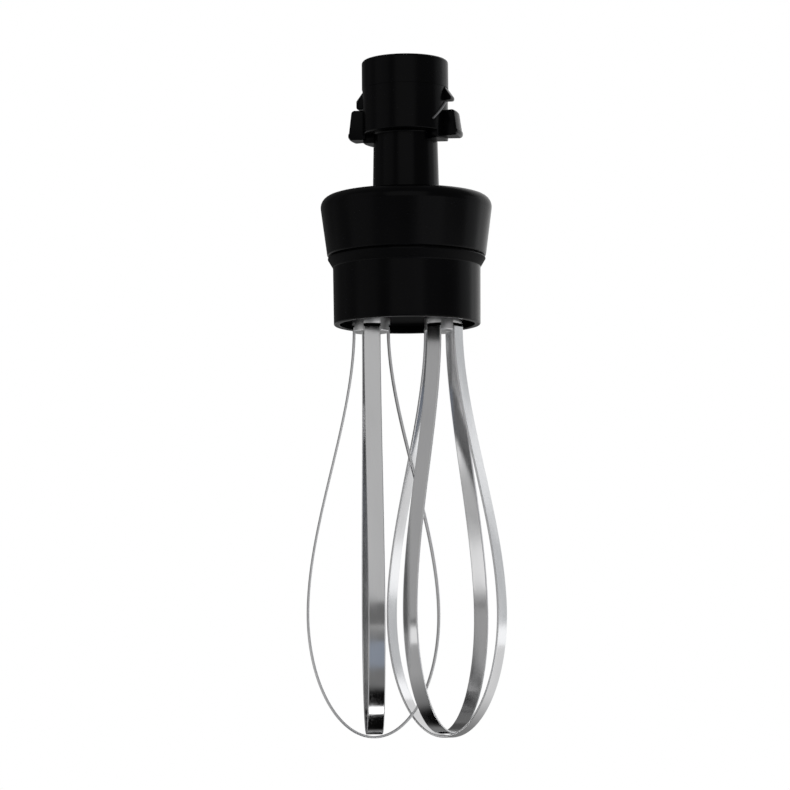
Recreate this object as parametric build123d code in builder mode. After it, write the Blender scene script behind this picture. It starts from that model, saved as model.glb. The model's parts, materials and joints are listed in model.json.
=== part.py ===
from build123d import *
import os
from math import acos, atan2, cos, degrees, dist, pi, radians, sin, sqrt, tan

# Twin whisk attachment for a stick blender.
# Z points up, Z = 0 is the foot of the collar's plain wall, and X runs through the two whisk axes.
# Lengths are millimetres and angles are degrees, counted from +X towards +Y.

os.makedirs("parts", exist_ok=True)

# Fits
seat_clearance = 0.03
running_clearance = 0.05
float_gap = 0.3

# Collar, which plugs into the motor body
collar_radius = 19.3
collar_land_step = 0.25
collar_top = 12.9
collar_foot = -20.3
collar_foot_round = 0.6
collar_bore_radius = 15.5
collar_edge_round = 1.4
collar_floor = -13.2

# Bayonet on the collar: nibs, lugs with a lip, the blocks under the lugs, and slanting ramps.
# The back nib and lug are longer than the front ones, so the collar enters one way round.
nib_angle = -17.0
nib_arc = 16.0
nib_top = -0.2
nib_foot = -6.2
nib_reach = 22.2
back_nib_foot = -8.0
back_nib_wall = 3.6
lug_angle = -14.0
lug_arc = 26.0
lug_top = -10.7
lug_foot = -22.3
back_lug_top = -9.0
lug_top_reach = 24.0
lug_foot_reach = 25.3
lug_lip = 0.3
lug_lip_height = 2.4
lug_edge_round = 0.8
block_angle = -24.0
block_arc = 40.0
block_foot = -23.7
bayonet_root_depth = 1.5
ramp_angle = -37.0
ramp_middle = -11.4
ramp_slope = 43.0
ramp_length = 13.2
ramp_width = 1.1
ramp_proud = 1.0

# Neck and drum of the upper housing
neck_top_radius = 14.2
neck_foot_radius = 14.8
neck_foot_round = 1.2
drum_top = -48.2
drum_radius = 38.1
drum_round = 5.0
skirt_foot = -75.0
skirt_taper = 2.9
skirt_edge_round = 0.4
skirt_wall = 2.4
ceiling_thickness = 3.0
ceiling_round = 3.0

# Lower housing
seam_gap = 0.8
flange_edge = 0.6
flange_setback = 0.2
flange_step = 2.25
flange_chamfer_height = 3.8
cup_taper = 0.25
cup_wall = 2.35
rim_foot = -105.7
rim_recess = 4.0
rim_thickness = 2.5
rim_edge_round = 0.6
floor_thickness = 4.0
spigot_clearance = 0.2
spigot_below_gears = 2.5
seal_section_radius = 0.8
seal_below_spigot = 3.5

# Ball bearings of the drive shaft
bearing_outer_radius = 11.0
bearing_bore_radius = 4.0
bearing_width = 7.0
ball_pitch_radius = 7.5
ball_radius = 1.98
ball_count = 7
ball_clearance = 0.07
race_land = 1.4
bearing_shoulder_radius = 9.0

# Gear train: a pinion drives a cluster gear, which drives two equal gears that mesh with each other.
# The whisk gears fill the drum, so their module comes from the room inside it.
pressure_angle = 20.0
tooth_backlash = 0.16
root_clearance = 0.25
gear_room = 5.3
module_step = 0.2
pinion_teeth = 10
cluster_drive_teeth = 33
cluster_drive_addendum = 0.65
cluster_whisk_teeth = 12
whisk_gear_teeth = 32
whisk_gear_addendum = 0.8
ceiling_gap = 1.5
drive_gear_width = 6.0
level_gap = 1.5
whisk_gear_width = 6.5
pinion_overlap = 0.4
cluster_pin_radius = 2.5
cluster_hub_radius = 4.4
cluster_pillar_radius = 3.8
pin_dimple = 1.5
pin_socket = 20.0

# Drive shaft and dog
shaft_top = 2.8
shaft_shoulder_radius = 5.0
dog_top = 0.8
dog_radius = 7.5
dog_splines = 6
dog_spline_width = 2.6
dog_spline_depth = 1.6
ring_thickness = 0.8
ring_rim = 1.6
ring_groove_depth = 0.4
ring_opening = 50.0

# Spindles, bushes and seals
spindle_radius = 3.0
spindle_shoulder_radius = 4.6
bush_radius = 5.0
bush_flange_radius = 6.5
bush_flange_thickness = 1.0
upper_bush_length = 6.0
upper_boss_radius = 7.0
lower_boss_radius = 7.6
shoulder_drop = 3.7
shaft_seal_radius = 6.2
shaft_seal_thickness = 3.2
shaft_seal_lip = 0.9

# Case screws
screw_inset = 4.1
screw_angle = 46.5
screw_radius = 1.5
screw_hole_clearance = 0.2
screw_head_radius = 2.7
screw_head_height = 2.4
screw_head_recess_radius = 2.9
screw_seat_depth = 13.0
screw_bite = 10.0
screw_tip_gap = 1.0
screw_boss_clearance = 0.85
screw_lower_boss_radius = 3.9
screw_boss_gap = 1.7
screw_drive_radius = 1.2
screw_drive_depth = 1.2

# Whisk hubs and strip loops
hub_radius = 8.4
hub_top_gap = 0.8
hub_height = 6.4
hub_shoulder = 3.1
hub_edge = 0.5
strip_width = 7.4
strip_thickness = 1.0
strip_seat_radius = 7.05
strip_slot_clearance = 0.05
strip_end_gap = 1.4
strip_pocket_depth = 1.5
loop_axis_gap = 3.25
loop_widest = -233.9
loop_tip = -287.7
loop_waist_pull = 40.7
loop_seat_pull = 41.0
loop_cross_gap = 0.65
left_whisk_angle = 3.4
right_whisk_angle = -33.6

# Places worked out from the sizes above
collar_land_radius = collar_radius - collar_land_step
skirt_foot_radius = drum_radius - skirt_taper
spigot_radius = skirt_foot_radius - skirt_wall - spigot_clearance
flange_radius = skirt_foot_radius - flange_setback
cup_top_radius = flange_radius - flange_step
cup_foot_radius = cup_top_radius - cup_taper
cup_bore_radius = cup_top_radius - cup_wall
rim_inner_radius = cup_foot_radius - rim_thickness
whisk_module = (drum_radius - gear_room) / (whisk_gear_teeth + whisk_gear_addendum)
drive_module = whisk_module - module_step
whisk_spacing = whisk_module * whisk_gear_teeth
loop_half_width = whisk_spacing - loop_axis_gap
left_axis = -whisk_spacing / 2
right_axis = whisk_spacing / 2
drive_distance = drive_module * (pinion_teeth + cluster_drive_teeth) / 2
cluster_to_left = whisk_module * (cluster_whisk_teeth + whisk_gear_teeth) / 2
cluster_x = (drive_distance**2 - cluster_to_left**2 + left_axis**2) / (2 * left_axis)
cluster_y = sqrt(drive_distance**2 - cluster_x**2)

ceiling = drum_top - ceiling_thickness
drive_level_top = ceiling - ceiling_gap
drive_level_foot = drive_level_top - drive_gear_width
whisk_level_top = drive_level_foot - level_gap
whisk_level_foot = whisk_level_top - whisk_gear_width
pinion_top = drive_level_top + pinion_overlap
pinion_foot = drive_level_foot - pinion_overlap

drum_rim = drum_top - drum_round
skirt_slope = (drum_radius - skirt_foot_radius) / (drum_rim - skirt_foot)
flange_top = skirt_foot - seam_gap
chamfer_foot = flange_top - flange_edge - flange_chamfer_height
floor_underside = rim_foot + rim_recess
floor_top = floor_underside + floor_thickness
spigot_top = whisk_level_foot - spigot_below_gears
seal_level = spigot_top - seal_below_spigot

bush_top = whisk_level_foot - shoulder_drop - float_gap
boss_top = bush_top - bush_flange_thickness
seal_pocket_top = floor_underside + shaft_seal_thickness + float_gap
upper_bush_foot = ceiling - ceiling_gap / 3 - upper_bush_length
pillar_top = whisk_level_foot - float_gap
pin_foot = pillar_top - pin_socket
pin_top = ceiling + pin_dimple

screw_split = whisk_level_foot - screw_boss_gap
screw_seat = screw_split - screw_seat_depth
screw_tip = screw_split + screw_bite

hub_top = floor_underside - hub_top_gap
hub_foot = hub_top - hub_height
strip_top = hub_top - hub_shoulder - strip_end_gap
strip_line_radius = strip_seat_radius + strip_thickness / 2


def skirt_radius(height):
    """Outer radius of the drum's tapered skirt at a height."""
    return skirt_foot_radius + skirt_slope * (height - skirt_foot)


def corner(outline, radius, height):
    """Vertex of a half section nearest to a radius and height."""
    return outline.vertices().sort_by_distance((radius, height))[0]


def axis_at(x=0.0, y=0.0):
    """Upright axis through a point."""
    return Axis((x, y, 0), (0, 0, 1))


def section(points, x=0.0, y=0.0, angle=0.0):
    """Half section of a turned piece: (radius, height) points on an upright plane through its axis."""
    direction = (cos(radians(angle)), sin(radians(angle)), 0)
    normal = (sin(radians(angle)), -cos(radians(angle)), 0)
    with BuildSketch(Plane((x, y, 0), x_dir=direction, z_dir=normal)) as outline:
        with BuildLine():
            Polyline(*points, close=True)
        make_face()
    return outline.sketch


def tube(inner, outer, foot, top, x=0.0, y=0.0):
    """Half section of a plain tube."""
    return section([(inner, foot), (outer, foot), (outer, top), (inner, top)], x, y)


def involute(angle):
    """Involute function of a pressure angle in radians."""
    return tan(angle) - angle


def tooth_half_angle(teeth, module, radius):
    """Half of a tooth's angle at a radius, in degrees, for an involute flank with backlash."""
    pitch_radius = teeth * module / 2
    base_radius = pitch_radius * cos(radians(pressure_angle))
    at_pitch = pi / (2 * teeth) - tooth_backlash / (4 * pitch_radius)
    flank = acos(min(1.0, base_radius / radius))
    return degrees(at_pitch + involute(radians(pressure_angle)) - involute(flank))


def gear_face(teeth, module, tip, root, phase, foot, x=0.0, y=0.0):
    """Spur gear outline: radial roots, involute flanks as three-point arcs, round tips and roots."""
    base = max(root, teeth * module / 2 * cos(radians(pressure_angle)))
    middle = (base + tip) / 2
    pitch = 360 / teeth

    def at(radius, angle):
        return (radius * cos(radians(angle)), radius * sin(radians(angle)))

    def flank(side, centre):
        return [at(r, centre + side * tooth_half_angle(teeth, module, r)) for r in (base, middle, tip)]

    foot_half = tooth_half_angle(teeth, module, base)
    with BuildSketch(Plane((x, y, foot))) as outline:
        with BuildLine():
            for tooth in range(teeth):
                centre = phase + tooth * pitch
                rise = flank(-1, centre)
                fall = flank(1, centre)
                next_foot = at(root, centre + pitch - foot_half)
                Line(at(root, centre - foot_half), rise[0])
                ThreePointArc(*rise)
                ThreePointArc(rise[-1], at(tip, centre), fall[-1])
                ThreePointArc(*fall[::-1])
                Line(fall[0], at(root, centre + foot_half))
                ThreePointArc(at(root, centre + foot_half), at(root, centre + pitch / 2), next_foot)
        make_face()
    return outline.sketch


def meshing_phase(teeth_a, phase_a, teeth_b, direction):
    """Phase of gear b that sets its gap on gear a's tooth, with b lying in a direction from a."""
    share_a = (direction - phase_a) * teeth_a / 360
    return direction + 180 - (0.5 - share_a) * 360 / teeth_b


def ring_part(x, shaft_radius, foot):
    """Half section of an open retaining ring that sits in a shaft groove."""
    inner = shaft_radius - ring_groove_depth + seat_clearance
    return tube(inner, inner + ring_rim, foot, foot + ring_thickness, x)


# Gear radii: each root clears the tip that runs into it
pinion_tip = drive_module * (pinion_teeth / 2 + 1)
cluster_drive_tip = drive_module * (cluster_drive_teeth / 2 + cluster_drive_addendum)
pinion_root = drive_distance - cluster_drive_tip - root_clearance
cluster_drive_root = drive_distance - pinion_tip - root_clearance
cluster_whisk_tip = whisk_module * (cluster_whisk_teeth / 2 + 1)
whisk_gear_tip = whisk_module * (whisk_gear_teeth / 2 + whisk_gear_addendum)
cluster_whisk_root = cluster_to_left - whisk_gear_tip - root_clearance
whisk_gear_root = cluster_to_left - cluster_whisk_tip - root_clearance

# Tooth phases that put every pair in mesh at rest
towards_cluster = degrees(atan2(cluster_y, cluster_x))
left_towards_cluster = degrees(atan2(cluster_y, cluster_x - left_axis))
pinion_phase = 0.0
left_gear_phase = 0.0
cluster_drive_phase = meshing_phase(pinion_teeth, pinion_phase, cluster_drive_teeth, towards_cluster)
cluster_whisk_phase = meshing_phase(
    whisk_gear_teeth, left_gear_phase, cluster_whisk_teeth, left_towards_cluster
)
right_gear_phase = meshing_phase(whisk_gear_teeth, left_gear_phase, whisk_gear_teeth, 0.0)

# Screws stand inside the spigot, and their upper bosses fill the room that the gears leave
screw_circle_radius = spigot_radius - screw_inset
screw_places = [
    (side_x * screw_circle_radius * cos(radians(screw_angle)),
     side_y * screw_circle_radius * sin(radians(screw_angle)))
    for side_x in (-1, 1)
    for side_y in (-1, 1)
]
screw_x, screw_y = screw_places[1]
room_by_whisk_gear = dist((screw_x, screw_y), (left_axis, 0)) - whisk_gear_tip
room_by_cluster = dist((screw_x, screw_y), (cluster_x, cluster_y)) - cluster_drive_tip
screw_boss_radius = min(room_by_whisk_gear, room_by_cluster) - screw_boss_clearance
bearing_tops = {"upper": collar_floor, "lower": ceiling + bearing_width}

# Upper housing: collar, neck and drum in one moulding
with BuildPart() as upper_housing:
    seat_radius = bearing_outer_radius + seat_clearance
    with BuildSketch(Plane.XZ) as housing_section:
        with BuildLine():
            Polyline(
                (collar_bore_radius, collar_top),
                (collar_radius, collar_top),
                (collar_radius, 0),
                (collar_land_radius, 0),
                (collar_land_radius, collar_foot),
                (neck_top_radius, collar_foot),
                (neck_foot_radius, drum_top),
                (skirt_radius(drum_top), drum_top),
                (skirt_foot_radius, skirt_foot),
                (skirt_foot_radius - skirt_wall, skirt_foot),
                (skirt_radius(ceiling) - skirt_wall, ceiling),
                (seat_radius, ceiling),
                (seat_radius, ceiling + bearing_width),
                (bearing_shoulder_radius, ceiling + bearing_width),
                (bearing_shoulder_radius, collar_floor - bearing_width),
                (seat_radius, collar_floor - bearing_width),
                (seat_radius, collar_floor),
                (collar_bore_radius, collar_floor),
                close=True,
            )
        make_face()
        fillet(corner(housing_section, skirt_radius(ceiling) - skirt_wall, ceiling), ceiling_round)
        fillet(corner(housing_section, skirt_radius(drum_top), drum_top), drum_round)
        fillet(corner(housing_section, skirt_foot_radius, skirt_foot), skirt_edge_round)
        fillet(corner(housing_section, neck_foot_radius, drum_top), neck_foot_round)
        fillet(corner(housing_section, collar_land_radius, collar_foot), collar_foot_round)
        fillet(corner(housing_section, collar_radius, collar_top), collar_edge_round)
    revolve(axis=Axis.Z)
    root_radius = collar_radius - bayonet_root_depth
    for turn, nib_low, nib_wall, lug_high in (
        (0, nib_foot, 0, lug_top),
        (180, back_nib_foot, back_nib_wall, back_lug_top),
    ):
        nib_points = [(root_radius, nib_low), (nib_reach, nib_low)]
        if nib_wall:
            nib_points.append((nib_reach, nib_low + nib_wall))
        nib_points += [(collar_land_radius, nib_top), (root_radius, nib_top)]
        nib = section(nib_points, angle=nib_angle + turn - nib_arc / 2)
        revolve(nib, axis=Axis.Z, revolution_arc=nib_arc)
        lug_start = radians(lug_angle + turn - lug_arc / 2)
        lug_plane = Plane(
            (0, 0, 0), x_dir=(cos(lug_start), sin(lug_start), 0), z_dir=(sin(lug_start), -cos(lug_start), 0)
        )
        with BuildSketch(lug_plane) as lug:
            with BuildLine():
                Polyline(
                    (root_radius, lug_foot),
                    (lug_foot_reach + lug_lip, lug_foot),
                    (lug_foot_reach + lug_lip, lug_foot + lug_lip_height),
                    (lug_foot_reach, lug_foot + lug_lip_height),
                    (lug_top_reach, lug_high),
                    (root_radius, lug_high),
                    close=True,
                )
            make_face()
            fillet(corner(lug, lug_foot_reach + lug_lip, lug_foot), lug_edge_round)
            fillet(corner(lug, lug_top_reach, lug_high), lug_edge_round)
        revolve(lug.sketch, axis=Axis.Z, revolution_arc=lug_arc)
        block = section(
            [
                (neck_top_radius - bayonet_root_depth, block_foot),
                (collar_land_radius, block_foot),
                (collar_land_radius, lug_foot),
                (root_radius, lug_top),
                (neck_top_radius - bayonet_root_depth, lug_top),
            ],
            angle=block_angle + turn - block_arc / 2,
        )
        revolve(block, axis=Axis.Z, revolution_arc=block_arc)
        ramp_radius = collar_radius + (ramp_proud - bayonet_root_depth) / 2
        ramp_turn = radians(ramp_angle + turn)
        ramp_place = Plane(
            (ramp_radius * cos(ramp_turn), ramp_radius * sin(ramp_turn), ramp_middle),
            x_dir=(-sin(ramp_turn), cos(ramp_turn), 0),
            z_dir=(cos(ramp_turn), sin(ramp_turn), 0),
        )
        with BuildSketch(ramp_place) as ramp:
            SlotOverall(ramp_length, ramp_width, rotation=ramp_slope)
        extrude(ramp.sketch, amount=(ramp_proud + bayonet_root_depth) / 2, both=True)
    with BuildSketch(Plane.XY.offset(ceiling)) as bush_bosses:
        with Locations((left_axis, 0), (right_axis, 0)):
            Circle(upper_boss_radius)
    extrude(bush_bosses.sketch, amount=upper_bush_foot - ceiling)
    with BuildSketch(Plane.XY.offset(upper_bush_foot)) as bush_bores:
        with Locations((left_axis, 0), (right_axis, 0)):
            Circle(bush_radius + seat_clearance)
    extrude(bush_bores.sketch, amount=upper_bush_length, mode=Mode.SUBTRACT)
    with BuildSketch(Plane.XY.offset(ceiling)) as pin_boss:
        with Locations((cluster_x, cluster_y)):
            Circle(cluster_pillar_radius)
    extrude(pin_boss.sketch, amount=float_gap - ceiling_gap)
    with BuildSketch(Plane.XY.offset(drive_level_top + float_gap)) as pin_hole:
        with Locations((cluster_x, cluster_y)):
            Circle(cluster_pin_radius + seat_clearance)
    extrude(pin_hole.sketch, amount=pin_top - drive_level_top - float_gap, mode=Mode.SUBTRACT)
    with BuildSketch(Plane.XY.offset(ceiling)) as screw_bosses:
        with Locations(*screw_places):
            Circle(screw_boss_radius)
    extrude(screw_bosses.sketch, amount=screw_split - ceiling)
    with BuildSketch(Plane.XY.offset(screw_split)) as screw_bores:
        with Locations(*screw_places):
            Circle(screw_radius + running_clearance)
    extrude(screw_bores.sketch, amount=screw_bite + screw_tip_gap, mode=Mode.SUBTRACT)
upper_housing.part.label = "upper_housing"
export_step(upper_housing.part, "parts/upper_housing.step")

# Lower housing: a cup with a spigot that fits inside the skirt
with BuildPart() as lower_housing:
    with BuildSketch(Plane.XZ) as cup:
        with BuildLine():
            Polyline(
                (0, floor_top),
                (cup_bore_radius, floor_top),
                (cup_bore_radius, spigot_top),
                (spigot_radius, spigot_top),
                (spigot_radius, flange_top),
                (flange_radius, flange_top),
                (flange_radius, flange_top - flange_edge),
                (cup_top_radius, chamfer_foot),
                (cup_foot_radius, rim_foot),
                (rim_inner_radius, rim_foot),
                (rim_inner_radius, floor_underside),
                (0, floor_underside),
                close=True,
            )
        make_face()
        fillet(corner(cup, cup_foot_radius, rim_foot), rim_edge_round)
        fillet(corner(cup, rim_inner_radius, rim_foot), rim_edge_round)
    revolve(axis=Axis.Z)
    with BuildSketch(Plane.XY.offset(floor_top)) as spindle_bosses:
        with Locations((left_axis, 0), (right_axis, 0)):
            Circle(lower_boss_radius)
    extrude(spindle_bosses.sketch, amount=boss_top - floor_top)
    with BuildSketch(Plane.XY.offset(floor_top)) as pillar:
        with Locations((cluster_x, cluster_y)):
            Circle(cluster_pillar_radius)
    extrude(pillar.sketch, amount=pillar_top - floor_top)
    with BuildSketch(Plane.XY.offset(floor_underside)) as lower_screw_bosses:
        with Locations(*screw_places):
            Circle(screw_lower_boss_radius)
    extrude(lower_screw_bosses.sketch, amount=screw_split - floor_underside)
    seal_groove_radius = spigot_radius + spigot_clearance - 2 * seal_section_radius
    revolve(
        tube(
            seal_groove_radius,
            flange_radius,
            seal_level - seal_section_radius - running_clearance,
            seal_level + seal_section_radius + running_clearance,
        ),
        axis=Axis.Z,
        mode=Mode.SUBTRACT,
    )
    for x in (left_axis, right_axis):
        revolve(
            tube(0, bush_radius + seat_clearance, seal_pocket_top, boss_top, x),
            axis=axis_at(x),
            mode=Mode.SUBTRACT,
        )
        revolve(
            tube(0, shaft_seal_radius + seat_clearance, floor_underside, seal_pocket_top, x),
            axis=axis_at(x),
            mode=Mode.SUBTRACT,
        )
    revolve(
        tube(0, cluster_pin_radius + seat_clearance, pin_foot, pillar_top, cluster_x, cluster_y),
        axis=axis_at(cluster_x, cluster_y),
        mode=Mode.SUBTRACT,
    )
    for x, y in screw_places:
        revolve(
            section(
                [
                    (0, floor_underside),
                    (screw_head_recess_radius, floor_underside),
                    (screw_head_recess_radius, screw_seat),
                    (screw_radius + screw_hole_clearance, screw_seat),
                    (screw_radius + screw_hole_clearance, screw_split),
                    (0, screw_split),
                ],
                x,
                y,
            ),
            axis=axis_at(x, y),
            mode=Mode.SUBTRACT,
        )
lower_housing.part.label = "lower_housing"
export_step(lower_housing.part, "parts/lower_housing.step")

# Round cord seal in the spigot's groove
with BuildPart() as housing_seal:
    seal_centre_radius = seal_groove_radius + seal_section_radius + seat_clearance
    with BuildSketch(Plane.XZ) as seal_section:
        with Locations((seal_centre_radius, seal_level)):
            Circle(seal_section_radius)
    revolve(axis=Axis.Z)
housing_seal.part.label = "housing_seal"
export_step(housing_seal.part, "parts/housing_seal.step")

# Two deep-groove ball bearings
groove_radius = ball_radius + ball_clearance
for position, bearing_top in bearing_tops.items():
    bearing_foot = bearing_top - bearing_width
    ball_level = (bearing_top + bearing_foot) / 2
    with BuildSketch(Plane.XZ) as ball_groove:
        with Locations((ball_pitch_radius, ball_level)):
            Circle(groove_radius)
    outer_land = ball_pitch_radius + race_land
    inner_land = ball_pitch_radius - race_land
    with BuildPart() as outer_race:
        revolve(tube(outer_land, bearing_outer_radius, bearing_foot, bearing_top), axis=Axis.Z)
        revolve(ball_groove.sketch, axis=Axis.Z, mode=Mode.SUBTRACT)
    outer_race.part.label = f"{position}_bearing_outer_race"
    export_step(outer_race.part, f"parts/{position}_bearing_outer_race.step")
    with BuildPart() as inner_race:
        bore = bearing_bore_radius + seat_clearance
        revolve(tube(bore, inner_land, bearing_foot, bearing_top), axis=Axis.Z)
        revolve(ball_groove.sketch, axis=Axis.Z, mode=Mode.SUBTRACT)
    inner_race.part.label = f"{position}_bearing_inner_race"
    export_step(inner_race.part, f"parts/{position}_bearing_inner_race.step")
    with BuildPart() as balls:
        with Locations((0, 0, ball_level)):
            with PolarLocations(ball_pitch_radius, ball_count):
                Sphere(ball_radius)
    balls.part.label = f"{position}_bearing_balls"
    export_step(balls.part, f"parts/{position}_bearing_balls.step")

# Drive shaft with its pinion cut on the lower end
with BuildPart() as drive_shaft:
    revolve(tube(0, bearing_bore_radius, ceiling, shaft_top), axis=Axis.Z)
    revolve(tube(0, shaft_shoulder_radius, pinion_top, ceiling), axis=Axis.Z)
    pinion = gear_face(pinion_teeth, drive_module, pinion_tip, pinion_root, pinion_phase, pinion_foot)
    extrude(pinion, amount=pinion_top - pinion_foot)
    groove_floor = bearing_bore_radius - ring_groove_depth
    revolve(
        tube(groove_floor, shaft_shoulder_radius, dog_top, dog_top + ring_thickness + running_clearance),
        axis=Axis.Z,
        mode=Mode.SUBTRACT,
    )
drive_shaft.part.label = "drive_shaft"
export_step(drive_shaft.part, "parts/drive_shaft.step")

# Drive dog, a splined sleeve that the motor's coupling drops over
with BuildPart() as drive_dog:
    revolve(
        tube(bearing_bore_radius + seat_clearance, dog_radius, collar_floor, dog_top),
        axis=Axis.Z,
    )
    with BuildSketch(Plane.XY.offset(collar_floor + bearing_width / 2)) as splines:
        with PolarLocations(dog_radius, dog_splines):
            Rectangle(2 * dog_spline_depth, dog_spline_width)
    extrude(splines.sketch, amount=dog_top - collar_floor, mode=Mode.SUBTRACT)
drive_dog.part.label = "drive_dog"
export_step(drive_dog.part, "parts/drive_dog.step")

with BuildPart() as shaft_retaining_ring:
    revolve(ring_part(0, bearing_bore_radius, dog_top), axis=Axis.Z, revolution_arc=360 - ring_opening)
shaft_retaining_ring.part.label = "shaft_retaining_ring"
export_step(shaft_retaining_ring.part, "parts/shaft_retaining_ring.step")

# Cluster gear, a moulded double gear that turns on a fixed pin
with BuildPart() as cluster_gear:
    drive_wheel = gear_face(
        cluster_drive_teeth,
        drive_module,
        cluster_drive_tip,
        cluster_drive_root,
        cluster_drive_phase,
        drive_level_foot,
        cluster_x,
        cluster_y,
    )
    extrude(drive_wheel, amount=drive_gear_width)
    revolve(
        tube(0, cluster_hub_radius, whisk_level_top, drive_level_foot, cluster_x, cluster_y),
        axis=axis_at(cluster_x, cluster_y),
    )
    whisk_pinion = gear_face(
        cluster_whisk_teeth,
        whisk_module,
        cluster_whisk_tip,
        cluster_whisk_root,
        cluster_whisk_phase,
        whisk_level_foot,
        cluster_x,
        cluster_y,
    )
    extrude(whisk_pinion, amount=whisk_gear_width)
    revolve(
        tube(
            0, cluster_pin_radius + running_clearance, whisk_level_foot, drive_level_top, cluster_x, cluster_y
        ),
        axis=axis_at(cluster_x, cluster_y),
        mode=Mode.SUBTRACT,
    )
cluster_gear.part.label = "cluster_gear"
export_step(cluster_gear.part, "parts/cluster_gear.step")

with BuildPart() as cluster_pin:
    revolve(
        tube(0, cluster_pin_radius, pin_foot, pin_top, cluster_x, cluster_y),
        axis=axis_at(cluster_x, cluster_y),
    )
    chamfer(cluster_pin.edges().filter_by(GeomType.CIRCLE), ring_groove_depth)
cluster_pin.part.label = "cluster_pin"
export_step(cluster_pin.part, "parts/cluster_pin.step")

# Case screws, driven up from below into the bosses of the upper housing
with BuildPart() as case_screws:
    for x, y in screw_places:
        revolve(
            section(
                [
                    (0, screw_seat - screw_head_height),
                    (screw_head_radius, screw_seat - screw_head_height),
                    (screw_head_radius, screw_seat),
                    (screw_radius, screw_seat),
                    (screw_radius, screw_tip),
                    (0, screw_tip),
                ],
                x,
                y,
            ),
            axis=axis_at(x, y),
        )
    with BuildSketch(Plane.XY.offset(screw_seat - screw_head_height)) as drive_sockets:
        with Locations(*screw_places):
            RegularPolygon(screw_drive_radius, 6)
    extrude(drive_sockets.sketch, amount=screw_drive_depth, mode=Mode.SUBTRACT)
case_screws.part.label = "case_screws"
export_step(case_screws.part, "parts/case_screws.step")

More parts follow.
